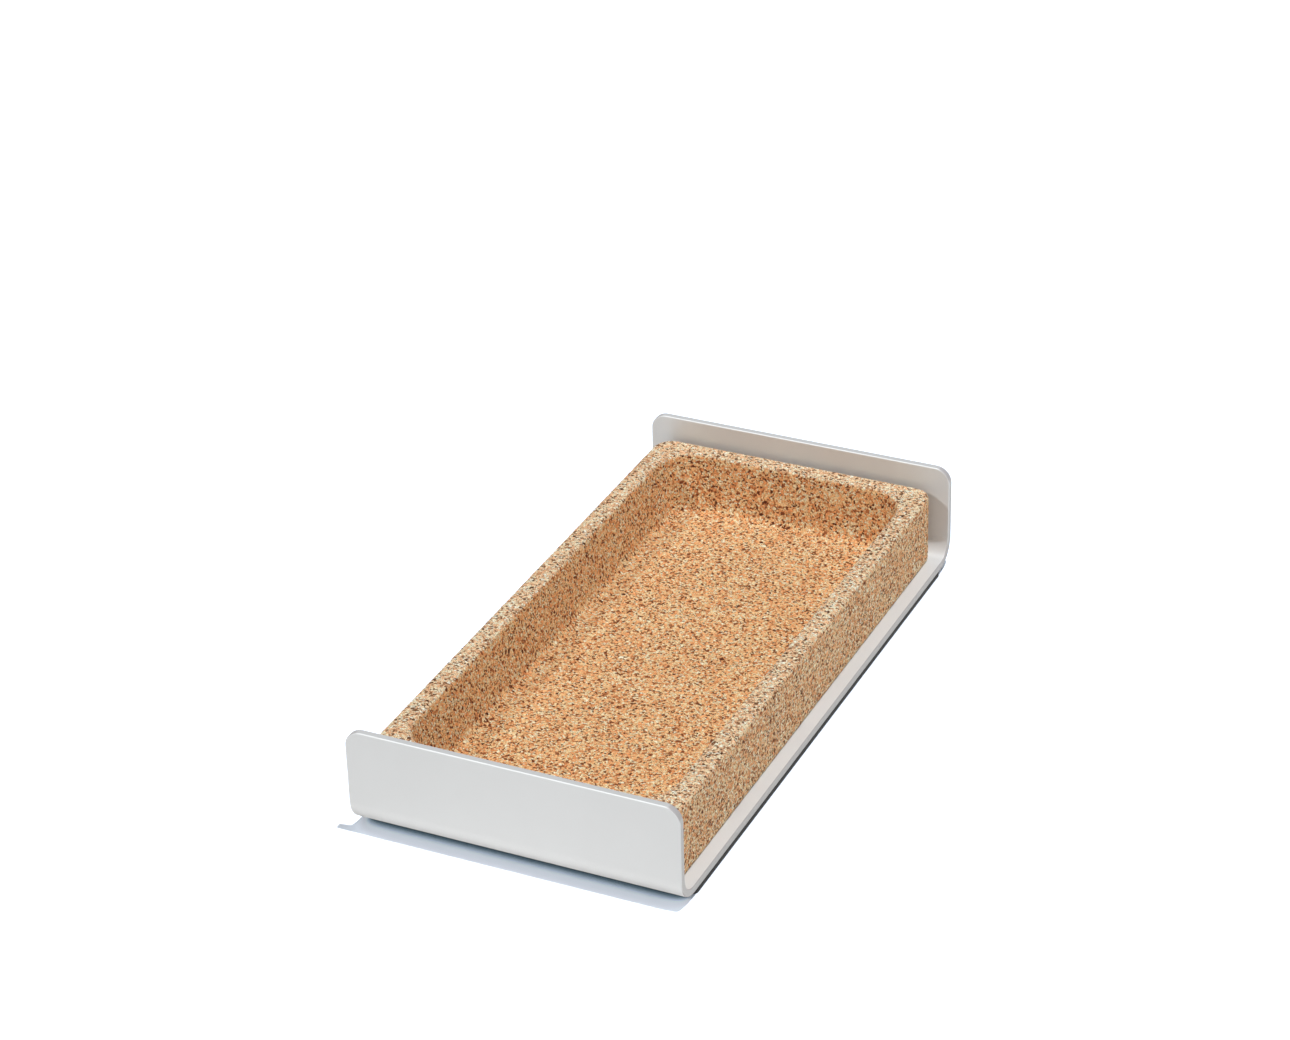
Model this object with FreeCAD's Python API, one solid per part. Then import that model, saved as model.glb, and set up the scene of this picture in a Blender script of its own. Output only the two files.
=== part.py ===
"""Desk tray: a cork tray that sits loose in a bent aluminium carrier, with a rubber pad under it.

Millimetres. The origin is the middle of the underside, +Z is up, the tray's length runs along Y
and its width along X. The two upstands of the carrier stand at the -Y and +Y ends.
"""

import math
import os

import FreeCAD
import Part

# Carrier: one sheet, bent up at both ends
SHEET_THICKNESS = 2.4
CARRIER_WIDTH = 110.0
CARRIER_LENGTH = 221.4
UPSTAND_HEIGHT = 34.5
BEND_INSIDE_RADIUS = 6.4
UPSTAND_CORNER_RADIUS = 5.5
SHEET_EDGE_ROUND = 0.4

# Cork tray: a solid block with a tapered well
TRAY_HEIGHT = 24.5
TRAY_CORNER_RADIUS = 6.5
TRAY_SIDE_MARGIN = 4.6
TRAY_END_CLEARANCE = 1.8
BEND_SEAT_CLEARANCE = 1.0
SIDE_RIM_WIDTH = 6.75
END_RIM_WIDTH = 6.5
WELL_FLOOR_THICKNESS = 5.5
WELL_CORNER_RADIUS = 13.0
WELL_WALL_SLOPE = 14.0
WELL_FLOOR_FILLET = 3.0
CORK_EDGE_ROUND = 0.8
CORK_FOOT_ROUND = 1.0

# Pad under the flat of the carrier
PAD_THICKNESS = 1.5
PAD_SIDE_INSET = 0.1
PAD_END_INSET = 0.8
PAD_CORNER_RADIUS = 2.0

# Levels and places that follow from the sizes above
SHEET_UNDERSIDE_Z = PAD_THICKNESS
SHEET_TOP_Z = SHEET_UNDERSIDE_Z + SHEET_THICKNESS
UPSTAND_TOP_Z = SHEET_UNDERSIDE_Z + UPSTAND_HEIGHT
BEND_OUTSIDE_RADIUS = BEND_INSIDE_RADIUS + SHEET_THICKNESS
BEND_TANGENT_Y = CARRIER_LENGTH / 2 - BEND_OUTSIDE_RADIUS
UPSTAND_INNER_Y = CARRIER_LENGTH / 2 - SHEET_THICKNESS
TRAY_WIDTH = CARRIER_WIDTH - 2 * TRAY_SIDE_MARGIN
TRAY_LENGTH = 2 * (UPSTAND_INNER_Y - TRAY_END_CLEARANCE)
TRAY_TOP_Z = SHEET_TOP_Z + TRAY_HEIGHT
WELL_FLOOR_Z = SHEET_TOP_Z + WELL_FLOOR_THICKNESS
CUT_OVERSHOOT = 5.0

# Two faces that meet at less than this angle run on smoothly, and their edge is left alone
SMOOTH_ANGLE = 10.0

UP = FreeCAD.Vector(0, 0, 1)
ALONG_X = FreeCAD.Vector(1, 0, 0)


def rounded_rectangle(width, length, radius, z):
    """Closed wire of a round-cornered rectangle about the Z axis, at height z."""
    arcs = []
    for quarter, (side_x, side_y) in enumerate(((1, 1), (-1, 1), (-1, -1), (1, -1))):
        centre = FreeCAD.Vector(side_x * (width / 2 - radius), side_y * (length / 2 - radius), z)
        start = quarter * math.pi / 2
        circle = Part.Circle(centre, UP, radius)
        arcs.append(Part.ArcOfCircle(circle, start, start + math.pi / 2).toShape())
    edges = []
    for arc, following in zip(arcs, arcs[1:] + arcs[:1]):
        edges.append(arc)
        edges.append(Part.makeLine(arc.lastVertex().Point, following.firstVertex().Point))
    return Part.Wire(edges)


def prism(outline, height):
    """Solid between a flat outline and its copy straight above it."""
    return Part.Face(outline).extrude(UP * height)


def quarter_bend(centre_y, centre_z, radius, end):
    """Quarter circle in the YZ plane at one end, from level with its centre down to its lowest point."""
    centre = FreeCAD.Vector(0, centre_y, centre_z)
    side = FreeCAD.Vector(0, end * radius, 0)
    down = FreeCAD.Vector(0, 0, -radius)
    middle = (side + down) * math.sqrt(0.5)
    return Part.Arc(centre + side, centre + middle, centre + down).toShape()


def trough_outline(reach_y, top_z, low_z, radius):
    """The three straight runs and two quarter bends of a U that opens upwards, as edges from -Y to +Y."""
    centre_y = reach_y - radius
    centre_z = low_z + radius
    left = quarter_bend(-centre_y, centre_z, radius, -1)
    right = quarter_bend(centre_y, centre_z, radius, 1)
    return [
        Part.makeLine((0, -reach_y, top_z), (0, -reach_y, centre_z)),
        left,
        Part.makeLine((0, -centre_y, low_z), (0, centre_y, low_z)),
        right,
        Part.makeLine((0, reach_y, centre_z), (0, reach_y, top_z)),
    ]


def profile_prism(edges, width):
    """Solid of a closed YZ outline, width wide and centred on the YZ plane."""
    wire = Part.Wire(Part.sortEdges(edges)[0])
    solid = Part.Face(wire).extrude(ALONG_X * width)
    solid.translate(ALONG_X * (-width / 2))
    return solid


def edges_where(solid, wanted):
    """The solid's edges whose bounding box passes a test."""
    return [edge for edge in solid.Edges if wanted(edge.BoundBox)]


def at_level(z):
    """Test for edges that lie flat at height z."""
    tolerance = 1e-4

    def lies_there(box):
        return abs(box.ZMin - z) < tolerance and abs(box.ZMax - z) < tolerance

    return lies_there


def face_normal(face, point):
    """Outward normal of a face at the place nearest to a point on it."""
    u, v = face.Surface.parameter(point)
    return face.normalAt(u, v)


def sharp_edges(solid):
    """The edges where two faces meet at an angle, without those between a flat and its bend."""
    found = []
    for edge in solid.Edges:
        faces = solid.ancestorsOfType(edge, Part.Face)
        if len(faces) != 2:
            continue
        middle = edge.valueAt((edge.FirstParameter + edge.LastParameter) / 2)
        angle = math.degrees(face_normal(faces[0], middle).getAngle(face_normal(faces[1], middle)))
        if angle > SMOOTH_ANGLE:
            found.append(edge)
    return found


def carrier():
    """Sheet bent up at both ends, with round upper corners and every cut edge broken."""
    outer_y = CARRIER_LENGTH / 2
    outside = trough_outline(outer_y, UPSTAND_TOP_Z, SHEET_UNDERSIDE_Z, BEND_OUTSIDE_RADIUS)
    inside = trough_outline(UPSTAND_INNER_Y, UPSTAND_TOP_Z, SHEET_TOP_Z, BEND_INSIDE_RADIUS)
    tops = [
        Part.makeLine((0, end * UPSTAND_INNER_Y, UPSTAND_TOP_Z), (0, end * outer_y, UPSTAND_TOP_Z))
        for end in (-1, 1)
    ]
    sheet = profile_prism(outside + inside + tops, CARRIER_WIDTH)

    def is_upper_corner(box):
        across_sheet = box.XLength < SHEET_THICKNESS / 2 and box.YLength > SHEET_THICKNESS / 2
        return across_sheet and at_level(UPSTAND_TOP_Z)(box)

    sheet = sheet.makeFillet(UPSTAND_CORNER_RADIUS, edges_where(sheet, is_upper_corner))
    return sheet.makeFillet(SHEET_EDGE_ROUND, sharp_edges(sheet))


def well_section(z):
    """Outline of the well at height z: its walls lean outwards, and its corners open up with them."""
    inset = (TRAY_TOP_Z - z) * math.tan(math.radians(WELL_WALL_SLOPE))
    width = TRAY_WIDTH - 2 * (SIDE_RIM_WIDTH + inset)
    length = TRAY_LENGTH - 2 * (END_RIM_WIDTH + inset)
    return rounded_rectangle(width, length, WELL_CORNER_RADIUS - inset, z)


def rounded_bar(width, radius, length):
    """Bar along X of the cork's height, flat on top, with its two lower edges rounded."""
    outline = trough_outline(width / 2, TRAY_TOP_Z, SHEET_TOP_Z, radius)
    lid = Part.makeLine((0, -width / 2, TRAY_TOP_Z), (0, width / 2, TRAY_TOP_Z))
    return profile_prism(outline + [lid], length)


def cork_tray():
    """Cork block that stands on the sheet between the bends, with a well that tapers to a flat floor."""
    plan = rounded_rectangle(TRAY_WIDTH, TRAY_LENGTH, TRAY_CORNER_RADIUS, SHEET_TOP_Z)
    block = prism(plan, TRAY_HEIGHT)

    # Its flat underside stops short of the bends, and its ends curve up to clear them
    foot_radius = TRAY_LENGTH / 2 - (BEND_TANGENT_Y - BEND_SEAT_CLEARANCE)
    block = block.common(rounded_bar(TRAY_LENGTH, foot_radius, TRAY_WIDTH + 2 * CUT_OVERSHOOT))

    # A second bar, turned lengthwise, rounds its two long lower edges
    lengthwise = rounded_bar(TRAY_WIDTH, CORK_FOOT_ROUND, TRAY_LENGTH + 2 * CUT_OVERSHOOT)
    lengthwise.rotate(FreeCAD.Vector(0, 0, 0), UP, 90)
    block = block.common(lengthwise)

    well = Part.makeLoft([well_section(WELL_FLOOR_Z), well_section(TRAY_TOP_Z + CUT_OVERSHOOT)], True, True)
    tray = block.cut(well)
    tray = tray.makeFillet(WELL_FLOOR_FILLET, edges_where(tray, at_level(WELL_FLOOR_Z)))
    return tray.makeFillet(CORK_EDGE_ROUND, edges_where(tray, at_level(TRAY_TOP_Z)))


def base_pad():
    """Rubber pad that covers the flat of the sheet and keeps the metal off the desk."""
    width = CARRIER_WIDTH - 2 * PAD_SIDE_INSET
    length = 2 * (BEND_TANGENT_Y - PAD_END_INSET)
    return prism(rounded_rectangle(width, length, PAD_CORNER_RADIUS, 0), PAD_THICKNESS)


PIECES = {
    "carrier": carrier,
    "cork_tray": cork_tray,
    "base_pad": base_pad,
}


def single_solid(shape):
    """The one valid solid that a piece has to be."""
    if len(shape.Solids) != 1 or not shape.isValid():
        raise RuntimeError("a piece is not one valid solid")
    return shape.Solids[0]


os.makedirs("parts", exist_ok=True)
for name, make in PIECES.items():
    solid = single_solid(make())
    solid.exportStep("parts/" + name + ".step")
    box = solid.optimalBoundingBox(True, False)
    extent = f"{box.XLength:.2f} x {box.YLength:.2f} x {box.ZLength:.2f} mm"
    print(f"{name}: {extent}, {solid.Volume / 1000:.2f} cm3")
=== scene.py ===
"""Looks of the desk tray: granular cork, satin aluminium and a black rubber pad, in studio light.

Metres, with +Z up and the tray's length along Y. Small sizes are millimetres times MM, angles are degrees.
"""

import math

import bmesh
import bpy
from mathutils import Matrix, Vector, noise


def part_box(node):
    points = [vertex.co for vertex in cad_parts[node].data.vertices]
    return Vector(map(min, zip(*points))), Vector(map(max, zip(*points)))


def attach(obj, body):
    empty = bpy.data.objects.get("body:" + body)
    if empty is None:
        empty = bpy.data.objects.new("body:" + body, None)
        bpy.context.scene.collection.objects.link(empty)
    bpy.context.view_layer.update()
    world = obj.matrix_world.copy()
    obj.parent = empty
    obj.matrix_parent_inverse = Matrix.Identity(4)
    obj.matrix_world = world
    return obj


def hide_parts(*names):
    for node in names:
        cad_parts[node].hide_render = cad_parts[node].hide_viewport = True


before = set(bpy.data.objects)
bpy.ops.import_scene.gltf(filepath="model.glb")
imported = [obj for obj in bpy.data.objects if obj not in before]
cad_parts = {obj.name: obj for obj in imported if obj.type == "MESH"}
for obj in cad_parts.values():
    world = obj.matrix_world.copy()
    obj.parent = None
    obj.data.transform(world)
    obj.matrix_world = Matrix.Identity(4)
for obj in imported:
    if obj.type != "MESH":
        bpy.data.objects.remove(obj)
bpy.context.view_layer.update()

MM = 0.001
WHITE = (1.0, 1.0, 1.0, 1.0)

# A noise lies about its centre, and most of it within its middle
NOISE_CENTRE = (0.5, 0.5, 0.5)
NOISE_MIDDLE = (0.3, 0.7)
PATCH_DETAIL = 3.0

# Camera of the photograph, fitted to the outline of the carrier and the cork block
CAMERA_PLACE = (0.4122, -0.8734, 0.6060)
CAMERA_AZIMUTH = 25.62
CAMERA_ELEVATION = 29.39
CAMERA_ROLL = -1.58
CAMERA_LENS = 98.84
CAMERA_SENSOR = 36.0

# Light: one hard lamp nearly overhead, a weaker one from the front left, a broad one from the right,
# and an even surround. The shares are of the light on a level surface.
KEY_TOWARDS = (0.16, 0.022, 1.0)
KEY_SHARE = 0.73
KEY_ANGLE = 1.2
KEY_COLOUR = (1.01, 1.00, 0.99)
SIDE_TOWARDS = (-0.57, -1.0, 0.85)
SIDE_SHARE = 0.21
SIDE_ANGLE = 5.0
SIDE_COLOUR = (1.03, 1.00, 0.96)
BROAD_TOWARDS = (1.0, -0.30, 0.35)
BROAD_SHARE = 0.055
BROAD_ANGLE = 40.0
BROAD_COLOUR = (1.01, 1.00, 0.99)
SURROUND_SHARE = 0.10
SURROUND_COLOUR = (0.90, 1.00, 1.10)

# Floor: its colour as a surface that lights the object, as it is mirrored, and as it is seen,
# where the lit part goes to white and only the shadow stays darker. As seen it also has painted shade:
# darker by its ambient occlusion, most of all in narrow crevices, and the blue of its seen colour shows only
# in the shade
FLOOR_SIZE = 6.0
FLOOR_COLOUR = (0.87, 0.83, 0.80, 1.0)
FLOOR_MIRRORED = (0.96, 0.96, 0.96, 1.0)
FLOOR_SEEN = (1.24, 1.36, 1.53, 1.0)
CREVICE_REACH = 30 * MM
CREVICE_SAMPLES = 32
PAINTED_CREVICE_SHADES = (
    (0.14, (0.07, 0.10, 0.12)),
    (0.20, (0.34, 0.42, 0.48)),
    (0.30, (0.77, 0.78, 0.78)),
    (0.46, (0.79, 0.77, 0.77)),
    (0.58, (1.00, 1.00, 1.00)),
)

# Cork's mesh, and the relief pressed into it: granules, each at a level of its own, and seams between.
# The spread keeps the centres of neighbouring granules in different cells of the noise behind their levels.
CORK_VOXEL = 0.85 * MM
CORK_RELIEF_SIZE = 1.7 * MM
CORK_RELIEF_DEPTH = 0.05 * MM
CORK_LEVEL_SPREAD = 9.7
CORK_SEAM_DEPTH = 0.05 * MM
CORK_SEAM_WIDTH = 0.25

# Cork's colour: coarse granules among fine ones, grains in them, seams between and patches over all.
# A warp shifts the outlines of cells. It and the size of its pattern are shares of the size of the cells.
COARSE_SIZE = 0.95 * MM
FINE_SIZE = 0.60 * MM
COARSE_SHARE = 0.16
GRANULE_WARP = 0.12
GRANULE_WARP_SIZE = 0.8
GRAIN_SIZE = 0.36 * MM
GRAIN_WARP = 0.2
CORK_PATCH_SIZE = 24 * MM
CORK_PATCH_SHADES = (0.95, 1.00)
CORK_TOP_TONES = (
    (0.00, (0.060, 0.022, 0.009)),
    (0.10, (0.240, 0.110, 0.050)),
    (0.24, (0.780, 0.430, 0.235)),
    (0.38, (1.000, 0.600, 0.340)),
    (0.62, (1.000, 0.760, 0.480)),
    (0.85, (1.000, 0.930, 0.670)),
    (1.00, (1.000, 1.000, 0.880)),
)
CORK_WELL_TONES = (
    (0.00, (0.080, 0.020, 0.006)),
    (0.10, (0.260, 0.075, 0.025)),
    (0.22, (0.780, 0.300, 0.110)),
    (0.34, (1.000, 0.460, 0.190)),
    (0.58, (1.000, 0.600, 0.280)),
    (0.82, (1.000, 0.780, 0.440)),
    (1.00, (1.000, 0.940, 0.700)),
)
CORK_GRAINS = (
    (0.00, (0.66, 0.60, 0.55)),
    (0.35, (0.94, 0.92, 0.90)),
    (0.55, (1.00, 1.00, 1.00)),
)
CORK_SEAM_COLOUR = (0.160, 0.070, 0.030, 1.0)
CORK_SEAM_SHARE = 0.55
CORK_SEAM_SPAN = (0.02, 0.10)

# Cork's shine, and its finest relief: what each pattern adds, in shares of CORK_BUMP_DEPTH
CORK_ROUGHNESS = (0.78, 0.95)
CORK_SPECULAR = 0.25
CORK_CELL_SIZE = 0.16 * MM
CORK_BUMP_DEPTH = 0.12 * MM
BUMP_OF_TONE = 0.5
BUMP_OF_SEAM = 0.8
BUMP_SEAM_REACH = 0.2
BUMP_OF_GRAIN = 0.45
BUMP_OF_CELL = 0.35

# Where the cork's colour changes: its top keeps paler tones, its well takes darker, more orange ones, and its
# outside lies between
TOP_TONE_DEPTH = 0.3 * MM
WELL_TONE_DEPTH = 0.9 * MM
WELL_SIDE_RIM = 6.6 * MM
WELL_END_RIM = 6.3 * MM
OUTSIDE_WELL_TONE = 0.70

# Sheet: blasted and anodised, so part of its light is scattered and part is mirrored
SHEET_COLOUR = (0.735, 0.765, 0.785, 1.0)
SHEET_METALLIC = 0.20
SHEET_SPECULAR = 0.35
SHEET_ROUGHNESS = 0.42
SHEET_ROUGHNESS_SWING = 0.02
SHEET_PATCH_SIZE = 30 * MM
SHEET_PATCH_SHADES = (0.985, 1.015)
BLAST_SIZE = 0.10 * MM
BLAST_DETAIL = 1.0
BLAST_SHADES = (0.97, 1.03)
BLAST_DEPTH = 0.006 * MM

# Its cut faces are its sides and the tops of its upstands. Their greyer colour is partly the cut metal's own
# and partly painted shade on the faces that face sideways. The slanting edge rounds of its sides are darker
# with painted shade, in place of the light they catch.
# A cut face is known by how squarely it faces sideways or up, an edge by how much it faces both ways.
SHEET_CUT_AND_SHADE_COLOUR = (0.510, 0.520, 0.530, 1.0)
SHEET_CUT_SPAN = (0.93, 0.98)
SHEET_TOP_REACH = 0.3 * MM
SHEET_EDGE_SHADE_COLOUR = (0.420, 0.410, 0.420, 1.0)
SHEET_EDGE_SPAN = (0.08, 0.25)

# Pad's skin: pebbled, with a trace of dust
PAD_COLOUR = (0.018, 0.018, 0.019, 1.0)
PAD_ROUGHNESS = (0.72, 0.85)
PAD_PEBBLE_SIZE = 0.45 * MM
PAD_PEBBLE_DEPTH = 0.08 * MM
PAD_DUST_COLOUR = (0.036, 0.036, 0.037, 1.0)
PAD_DUST_SIZE = 12 * MM
PAD_DUST_DETAIL = 4.0
PAD_DUST_SPAN = (0.45, 0.75)
PAD_DUST_SHARE = 0.5

# Pad's shape: its outline is drawn this far outside the CAD's, so that its sides show flush with the sheet's
PAD_OUTSET = 0.15 * MM
PAD_CORNER_RADIUS = 2.0 * MM
PAD_CORNER_STEPS = 8
PAD_EDGE_ROUND = 0.10 * MM
PAD_ROUND_STEPS = 4
PAD_SHARP_ANGLE = 40


class Shader:
    """A node tree being written: adds nodes and links them."""

    def __init__(self, tree):
        self.tree = tree
        tree.nodes.clear()

    def add(self, kind, settings=None, **inputs):
        """Adds a node with settings, and links or sets its inputs, named with underscores for spaces."""
        node = self.tree.nodes.new("ShaderNode" + kind)
        for name, value in (settings or {}).items():
            setattr(node, name, value)
        for name, value in inputs.items():
            socket = self.socket(node, name)
            if isinstance(value, bpy.types.NodeSocket):
                self.tree.links.new(value, socket)
            else:
                socket.default_value = value
        return node

    @staticmethod
    def socket(node, name):
        """The input named so, or the input at a place given as in_0, in_1 and so on."""
        if name.startswith("in_"):
            return node.inputs[int(name[3:])]
        return node.inputs[name.replace("_", " ")]

    def math(self, operation, first, second=0.0):
        return self.add("Math", {"operation": operation}, in_0=first, in_1=second).outputs[0]

    def vector(self, operation, first, second):
        return self.add("VectorMath", {"operation": operation}, in_0=first, in_1=second)

    def spread(self, value, low, high, to_low=0.0, to_high=1.0):
        """value from low to high becomes to_low to to_high, and stops there."""
        ends = {"in_1": low, "in_2": high, "in_3": to_low, "in_4": to_high}
        return self.add("MapRange", {"clamp": True}, in_0=value, **ends).outputs[0]

    def choose(self, is_second, first, second):
        """The first value, or the second where is_second is 1."""
        return self.add("Mix", {"data_type": "FLOAT"}, in_0=is_second, in_2=first, in_3=second).outputs[0]

    def mix(self, share, first, second, blend="MIX"):
        settings = {"data_type": "RGBA", "blend_type": blend}
        return self.add("Mix", settings, in_0=share, in_6=first, in_7=second).outputs[2]

    def tinted(self, colour, tint):
        return self.mix(1.0, colour, tint, "MULTIPLY")

    def ramp(self, value, stops):
        """Colour ramp through (place, colour) stops."""
        node = self.add("ValToRGB", None, in_0=value)
        elements = node.color_ramp.elements
        while len(elements) < len(stops):
            elements.new(position=0.5)
        for element, (place, colour) in zip(elements, stops):
            element.position = place
            element.color = (*colour, 1.0)
        return node.outputs[0]

    def shade(self, value, low, high):
        """Grey that goes from low to high as value goes through the middle of a noise."""
        stops = [(place, (grey,) * 3) for place, grey in zip(NOISE_MIDDLE, (low, high))]
        return self.ramp(value, stops)

    def noise(self, place, size, detail=2.0):
        return self.add("TexNoise", None, Vector=place, Scale=1 / size, Detail=detail)

    def cells(self, place, size, feature="F1"):
        return self.add("TexVoronoi", {"feature": feature}, Vector=place, Scale=1 / size)

    def parts(self, colour):
        return self.add("SeparateColor", None, in_0=colour).outputs

    def xyz(self, vector):
        return self.add("SeparateXYZ", None, Vector=vector).outputs

    def moved(self, place, size, reach):
        """place, shifted by up to reach in a pattern of that size, which bends straight outlines."""
        pattern = self.noise(place, size).outputs[1]
        shift = self.vector("SUBTRACT", pattern, NOISE_CENTRE).outputs[0]
        scaled = self.add("VectorMath", {"operation": "SCALE"}, in_0=shift, Scale=2 * reach)
        return self.vector("ADD", place, scaled.outputs[0]).outputs[0]

    def bump(self, height, depth):
        return self.add("Bump", None, Height=height, Distance=depth).outputs[0]

    def place(self):
        return self.add("TexCoord").outputs["Object"]

    def surface(self, colour, roughness, normal, **constants):
        """Principled surface with its even values set on its own sockets."""
        varying = {"Base_Color": colour, "Roughness": roughness, "Normal": normal}
        self.finish(self.add("BsdfPrincipled", None, **varying, **constants))

    def finish(self, shader):
        self.add("OutputMaterial", None, Surface=shader.outputs[0])


def new_material(name):
    material = bpy.data.materials.new(name)
    material.use_nodes = True
    return material, Shader(material.node_tree)


def granules(s, place, size):
    """Irregular cells: random values for each, and the distance from their seams as a share of their size."""
    warped = s.moved(place, size * GRANULE_WARP_SIZE, size * GRANULE_WARP)
    values = s.parts(s.cells(warped, size).outputs["Color"])
    seam = s.cells(warped, size, "DISTANCE_TO_EDGE").outputs["Distance"]
    return values, seam


def mixed_granules(s, place):
    """Tone and distance from the seams of fine granules with some coarse ones among them."""
    fine, fine_seam = granules(s, place, FINE_SIZE)
    coarse, coarse_seam = granules(s, place, COARSE_SIZE)
    is_coarse = s.math("LESS_THAN", coarse[1], COARSE_SHARE)
    tone = s.choose(is_coarse, fine[0], coarse[0])
    seam = s.choose(is_coarse, fine_seam, coarse_seam)
    return tone, seam


def well_tone_share(s, place):
    """How much the cork takes its well tones: none at its top, partly on its outside, wholly in its well."""
    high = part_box("cork_tray")[1]
    x, y, z = s.xyz(place)
    in_width = s.math("LESS_THAN", s.math("ABSOLUTE", x), high.x - WELL_SIDE_RIM)
    in_length = s.math("LESS_THAN", s.math("ABSOLUTE", y), high.y - WELL_END_RIM)
    share = s.choose(s.math("MULTIPLY", in_width, in_length), OUTSIDE_WELL_TONE, 1.0)
    below_top = s.spread(s.math("SUBTRACT", high.z, z), TOP_TONE_DEPTH, WELL_TONE_DEPTH)
    return s.math("MULTIPLY", share, below_top)


def cork_height(s, tone, seam, grain_tone, cell):
    """Height of the finest relief, from the granules, their seams and grains, and the cork's cells."""
    of_seam = (0.0, BUMP_SEAM_REACH, 0.0, BUMP_OF_SEAM)
    height = s.math("ADD", s.math("MULTIPLY", tone, BUMP_OF_TONE), s.spread(seam, *of_seam))
    height = s.math("ADD", height, s.math("MULTIPLY", grain_tone, BUMP_OF_GRAIN))
    return s.math("ADD", height, s.math("MULTIPLY", cell, BUMP_OF_CELL))


def cork_material():
    """Fine and coarse granules of tan and brown cork, with grains in them and dark seams between."""
    material, s = new_material("cork")
    place = s.place()
    tone, seam = mixed_granules(s, place)
    # Below its top the cork takes darker, more orange tones: wholly in its well, partly on its outside.
    colour = s.mix(well_tone_share(s, place), s.ramp(tone, CORK_TOP_TONES), s.ramp(tone, CORK_WELL_TONES))

    grain = s.cells(s.moved(place, GRAIN_SIZE, GRAIN_SIZE * GRAIN_WARP), GRAIN_SIZE)
    grain_tone = s.parts(grain.outputs["Color"])[1]
    colour = s.tinted(colour, s.ramp(grain_tone, CORK_GRAINS))
    in_seam = s.spread(seam, *CORK_SEAM_SPAN, CORK_SEAM_SHARE, 0.0)
    colour = s.mix(in_seam, colour, CORK_SEAM_COLOUR)

    patch = s.noise(place, CORK_PATCH_SIZE, PATCH_DETAIL).outputs[0]
    colour = s.tinted(colour, s.shade(patch, *CORK_PATCH_SHADES))

    cell = s.noise(place, CORK_CELL_SIZE).outputs[0]
    height = cork_height(s, tone, seam, grain_tone, cell)
    roughness = s.spread(cell, *NOISE_MIDDLE, *CORK_ROUGHNESS)
    s.surface(colour, roughness, s.bump(height, CORK_BUMP_DEPTH), Specular_IOR_Level=CORK_SPECULAR)
    return material


def sheet_material():
    """Aluminium, finely blasted and clear anodised, greyer on its cut faces, partly as painted shade, and
    with painted shade on the edges of its sides.
    """
    material, s = new_material("sheet")
    place = s.place()
    blast = s.noise(place, BLAST_SIZE, BLAST_DETAIL).outputs[0]
    patch = s.noise(place, SHEET_PATCH_SIZE, PATCH_DETAIL).outputs[0]
    colour = s.tinted(SHEET_COLOUR, s.shade(patch, *SHEET_PATCH_SHADES))
    colour = s.tinted(colour, s.shade(blast, *BLAST_SHADES))

    facing = s.xyz(s.add("TexCoord").outputs["Normal"])
    sideways = facing["X"]
    upwards = facing["Z"]
    slanting = s.math("ABSOLUTE", s.math("MULTIPLY", sideways, upwards))
    # Painted shade: the slanting edge rounds of the sides are darker.
    colour = s.mix(s.spread(slanting, *SHEET_EDGE_SPAN), colour, SHEET_EDGE_SHADE_COLOUR)
    height = s.xyz(place)["Z"]
    is_top = s.math("GREATER_THAN", height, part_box("carrier")[1].z - SHEET_TOP_REACH)
    across = s.math("MAXIMUM", s.math("ABSOLUTE", sideways), s.math("MULTIPLY", upwards, is_top))
    # The greyer cut colour is partly the cut metal's own; on the faces that face sideways it is also painted
    # shade.
    colour = s.mix(s.spread(across, *SHEET_CUT_SPAN), colour, SHEET_CUT_AND_SHADE_COLOUR)

    smoothest = SHEET_ROUGHNESS - SHEET_ROUGHNESS_SWING
    roughest = SHEET_ROUGHNESS + SHEET_ROUGHNESS_SWING
    roughness = s.spread(patch, *NOISE_MIDDLE, smoothest, roughest)
    normal = s.bump(blast, BLAST_DEPTH)
    s.surface(colour, roughness, normal, Metallic=SHEET_METALLIC, Specular_IOR_Level=SHEET_SPECULAR)
    return material


def pad_material():
    """Matt black rubber with a fine pebbled skin and a trace of dust."""
    material, s = new_material("pad")
    place = s.place()
    pebble = s.cells(place, PAD_PEBBLE_SIZE).outputs["Distance"]
    dust = s.noise(place, PAD_DUST_SIZE, PAD_DUST_DETAIL).outputs[0]
    dusty = s.spread(dust, *PAD_DUST_SPAN, 0.0, PAD_DUST_SHARE)
    colour = s.mix(dusty, PAD_COLOUR, PAD_DUST_COLOUR)
    roughness = s.spread(dust, *NOISE_MIDDLE, *PAD_ROUGHNESS)
    s.surface(colour, roughness, s.bump(pebble, PAD_PEBBLE_DEPTH))
    return material


def dress(piece, material):
    """Gives every face of a piece one material."""
    piece.data.materials.clear()
    piece.data.materials.append(material)
    piece.data.polygons.foreach_set("material_index", [0] * len(piece.data.polygons))


def link(piece):
    bpy.context.scene.collection.objects.link(piece)
    return piece


def stand_in(piece, node, body):
    """Shows a piece in place of a CAD node, on that node's body."""
    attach(piece, body)
    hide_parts(node)


def cork_depth(place):
    """How far the cork's skin lies under the smooth surface, by its granules and the seams between them."""
    distances, centres = noise.voronoi(place / CORK_RELIEF_SIZE)
    level = noise.cell(centres[0] * CORK_LEVEL_SPREAD)
    seam = max(0.0, 1.0 - (distances[1] - distances[0]) / CORK_SEAM_WIDTH)
    return CORK_RELIEF_DEPTH * level + CORK_SEAM_DEPTH * seam


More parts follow.
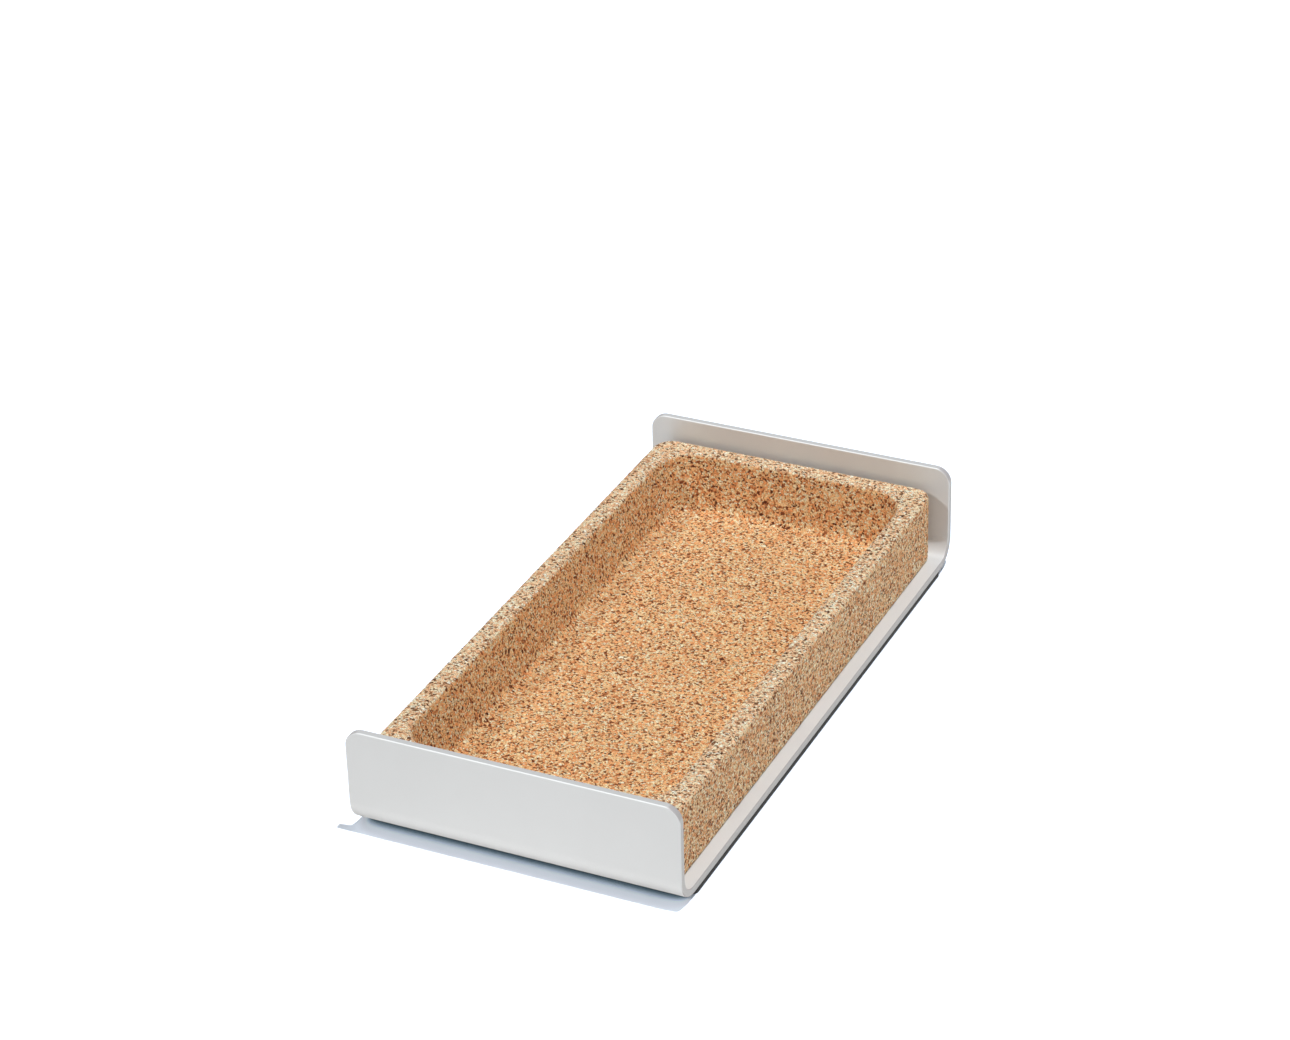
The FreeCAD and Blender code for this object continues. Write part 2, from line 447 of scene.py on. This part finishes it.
def cork_piece():
    """The cork block as a dense mesh whose skin has the relief of its granules."""
    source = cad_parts["cork_tray"]
    seat_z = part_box("cork_tray")[0].z
    shape = link(bpy.data.objects.new("cork_source", source.data.copy()))
    remesh = shape.modifiers.new("remesh", "REMESH")
    remesh.mode = "VOXEL"
    remesh.voxel_size = CORK_VOXEL
    graph = bpy.context.evaluated_depsgraph_get()
    mesh = bpy.data.meshes.new_from_object(shape.evaluated_get(graph))
    bpy.data.objects.remove(shape)
    mesh.name = "cork_block"

    normals = [vertex.normal.copy() for vertex in mesh.vertices]
    for vertex, normal in zip(mesh.vertices, normals):
        vertex.co -= normal * cork_depth(vertex.co)
        vertex.co.z = max(vertex.co.z, seat_z)
    mesh.shade_smooth()
    return link(bpy.data.objects.new("cork_block", mesh))


def pad_ring(low, high, inset, z):
    """Points of the pad's round-cornered outline, drawn in by inset, at height z."""
    radius = PAD_CORNER_RADIUS - inset
    points = []
    for quarter, (side_x, side_y) in enumerate(((1, 1), (-1, 1), (-1, -1), (1, -1))):
        corner_x = (high.x if side_x > 0 else low.x) - side_x * PAD_CORNER_RADIUS
        corner_y = (high.y if side_y > 0 else low.y) - side_y * PAD_CORNER_RADIUS
        for step in range(PAD_CORNER_STEPS + 1):
            turn = (quarter + step / PAD_CORNER_STEPS) * math.pi / 2
            points.append((corner_x + radius * math.cos(turn), corner_y + radius * math.sin(turn), z))
    return points


def pad_levels():
    """Steps round the pad's edge: how far in from the CAD's outline, and how far from its face."""
    levels = []
    for step in range(PAD_ROUND_STEPS + 1):
        turn = math.pi / 2 * step / PAD_ROUND_STEPS
        inset = PAD_EDGE_ROUND * (1 - math.sin(turn)) - PAD_OUTSET
        levels.append((inset, PAD_EDGE_ROUND * (1 - math.cos(turn))))
    return levels


def pad_piece():
    """The rubber pad, drawn a little outside the CAD's, with the softly rounded edges of a cut sheet."""
    low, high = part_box("base_pad")
    levels = pad_levels()
    rings = [pad_ring(low, high, inset, low.z + up) for inset, up in levels]
    rings += [pad_ring(low, high, inset, high.z - down) for inset, down in reversed(levels)]

    mesh = bmesh.new()
    loops = [[mesh.verts.new(point) for point in ring] for ring in rings]
    for lower, upper in zip(loops, loops[1:]):
        for i in range(len(lower)):
            j = (i + 1) % len(lower)
            mesh.faces.new((lower[i], lower[j], upper[j], upper[i]))
    mesh.faces.new(reversed(loops[0]))
    mesh.faces.new(loops[-1])
    data = bpy.data.meshes.new("rubber_pad")
    mesh.to_mesh(data)
    mesh.free()
    data.shade_smooth()
    data.set_sharp_from_angle(angle=math.radians(PAD_SHARP_ANGLE))
    return link(bpy.data.objects.new("rubber_pad", data))


def floor():
    """White floor that takes the object's shadow, in the three colours that FLOOR_ constants give; seen, it
    has painted crevice shade.
    """
    bpy.ops.mesh.primitive_plane_add(size=FLOOR_SIZE)
    plane = bpy.context.object
    plane.name = "floor"
    material, s = new_material("floor")
    path = s.add("LightPath").outputs
    mirrored = s.math("MAXIMUM", path["Is Glossy Ray"], path["Is Transmission Ray"])
    unseen = s.add("BsdfDiffuse", None, Color=s.mix(mirrored, FLOOR_COLOUR, FLOOR_MIRRORED))

    # Painted shade: the seen colour darkens with the floor's ambient occlusion, most of all in narrow
    # crevices.
    crevices = s.add("AmbientOcclusion", {"samples": CREVICE_SAMPLES}, Distance=CREVICE_REACH)
    colour = s.tinted(FLOOR_SEEN, s.ramp(crevices.outputs["AO"], PAINTED_CREVICE_SHADES))
    seen = s.add("BsdfDiffuse", None, Color=colour)
    shaders = {"in_1": unseen.outputs[0], "in_2": seen.outputs[0]}
    s.finish(s.add("MixShader", None, in_0=path["Is Camera Ray"], **shaders))
    dress(plane, material)


def surround():
    """Even surround: white where it is seen or mirrored, and its own share and colour where it lights."""
    world = bpy.data.worlds.new("surround")
    bpy.context.scene.world = world
    world.use_nodes = True
    s = Shader(world.node_tree)
    path = s.add("LightPath").outputs
    seen = s.math("MAXIMUM", path["Is Camera Ray"], path["Is Glossy Ray"])
    seen = s.math("MAXIMUM", seen, path["Is Transmission Ray"])
    strength = s.spread(seen, 0.0, 1.0, SURROUND_SHARE, 1.0)
    colour = s.mix(seen, (*SURROUND_COLOUR, 1.0), WHITE)
    background = s.add("Background", None, Color=colour, Strength=strength)
    s.add("OutputWorld", None, Surface=background.outputs[0])


def lamp(name, towards, share, angle, colour):
    """Sun lamp whose light adds share to a white level surface."""
    direction = Vector(towards).normalized()
    data = bpy.data.lights.new(name, "SUN")
    data.energy = share * math.pi / direction.z
    data.angle = math.radians(angle)
    data.color = colour
    piece = link(bpy.data.objects.new(name, data))
    piece.rotation_euler = direction.to_track_quat("Z", "Y").to_euler()


def camera():
    """Camera at the photograph's place, turned by its azimuth, elevation and roll."""
    azimuth, elevation, roll = (math.radians(a) for a in (CAMERA_AZIMUTH, CAMERA_ELEVATION, CAMERA_ROLL))
    level = math.cos(elevation)
    back = Vector((math.sin(azimuth) * level, -math.cos(azimuth) * level, math.sin(elevation)))
    right = Vector((math.cos(azimuth), math.sin(azimuth), 0.0))
    up = back.cross(right)
    turned_right = math.cos(roll) * right + math.sin(roll) * up
    turned_up = math.cos(roll) * up - math.sin(roll) * right
    data = bpy.data.cameras.new("camera")
    data.lens = CAMERA_LENS
    data.sensor_width = CAMERA_SENSOR
    piece = link(bpy.data.objects.new("camera", data))
    axes = Matrix((turned_right, turned_up, back)).transposed()
    piece.matrix_world = Matrix.Translation(CAMERA_PLACE) @ axes.to_4x4()
    bpy.context.scene.camera = piece


camera()
surround()
lamp("key", KEY_TOWARDS, KEY_SHARE, KEY_ANGLE, KEY_COLOUR)
lamp("side", SIDE_TOWARDS, SIDE_SHARE, SIDE_ANGLE, SIDE_COLOUR)
lamp("broad", BROAD_TOWARDS, BROAD_SHARE, BROAD_ANGLE, BROAD_COLOUR)
floor()

cork = cork_piece()
dress(cork, cork_material())
stand_in(cork, "cork_tray", "tray")

pad = pad_piece()
dress(pad, pad_material())
stand_in(pad, "base_pad", "carrier")

dress(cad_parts["carrier"], sheet_material())

bpy.context.scene.view_settings.view_transform = "Standard"
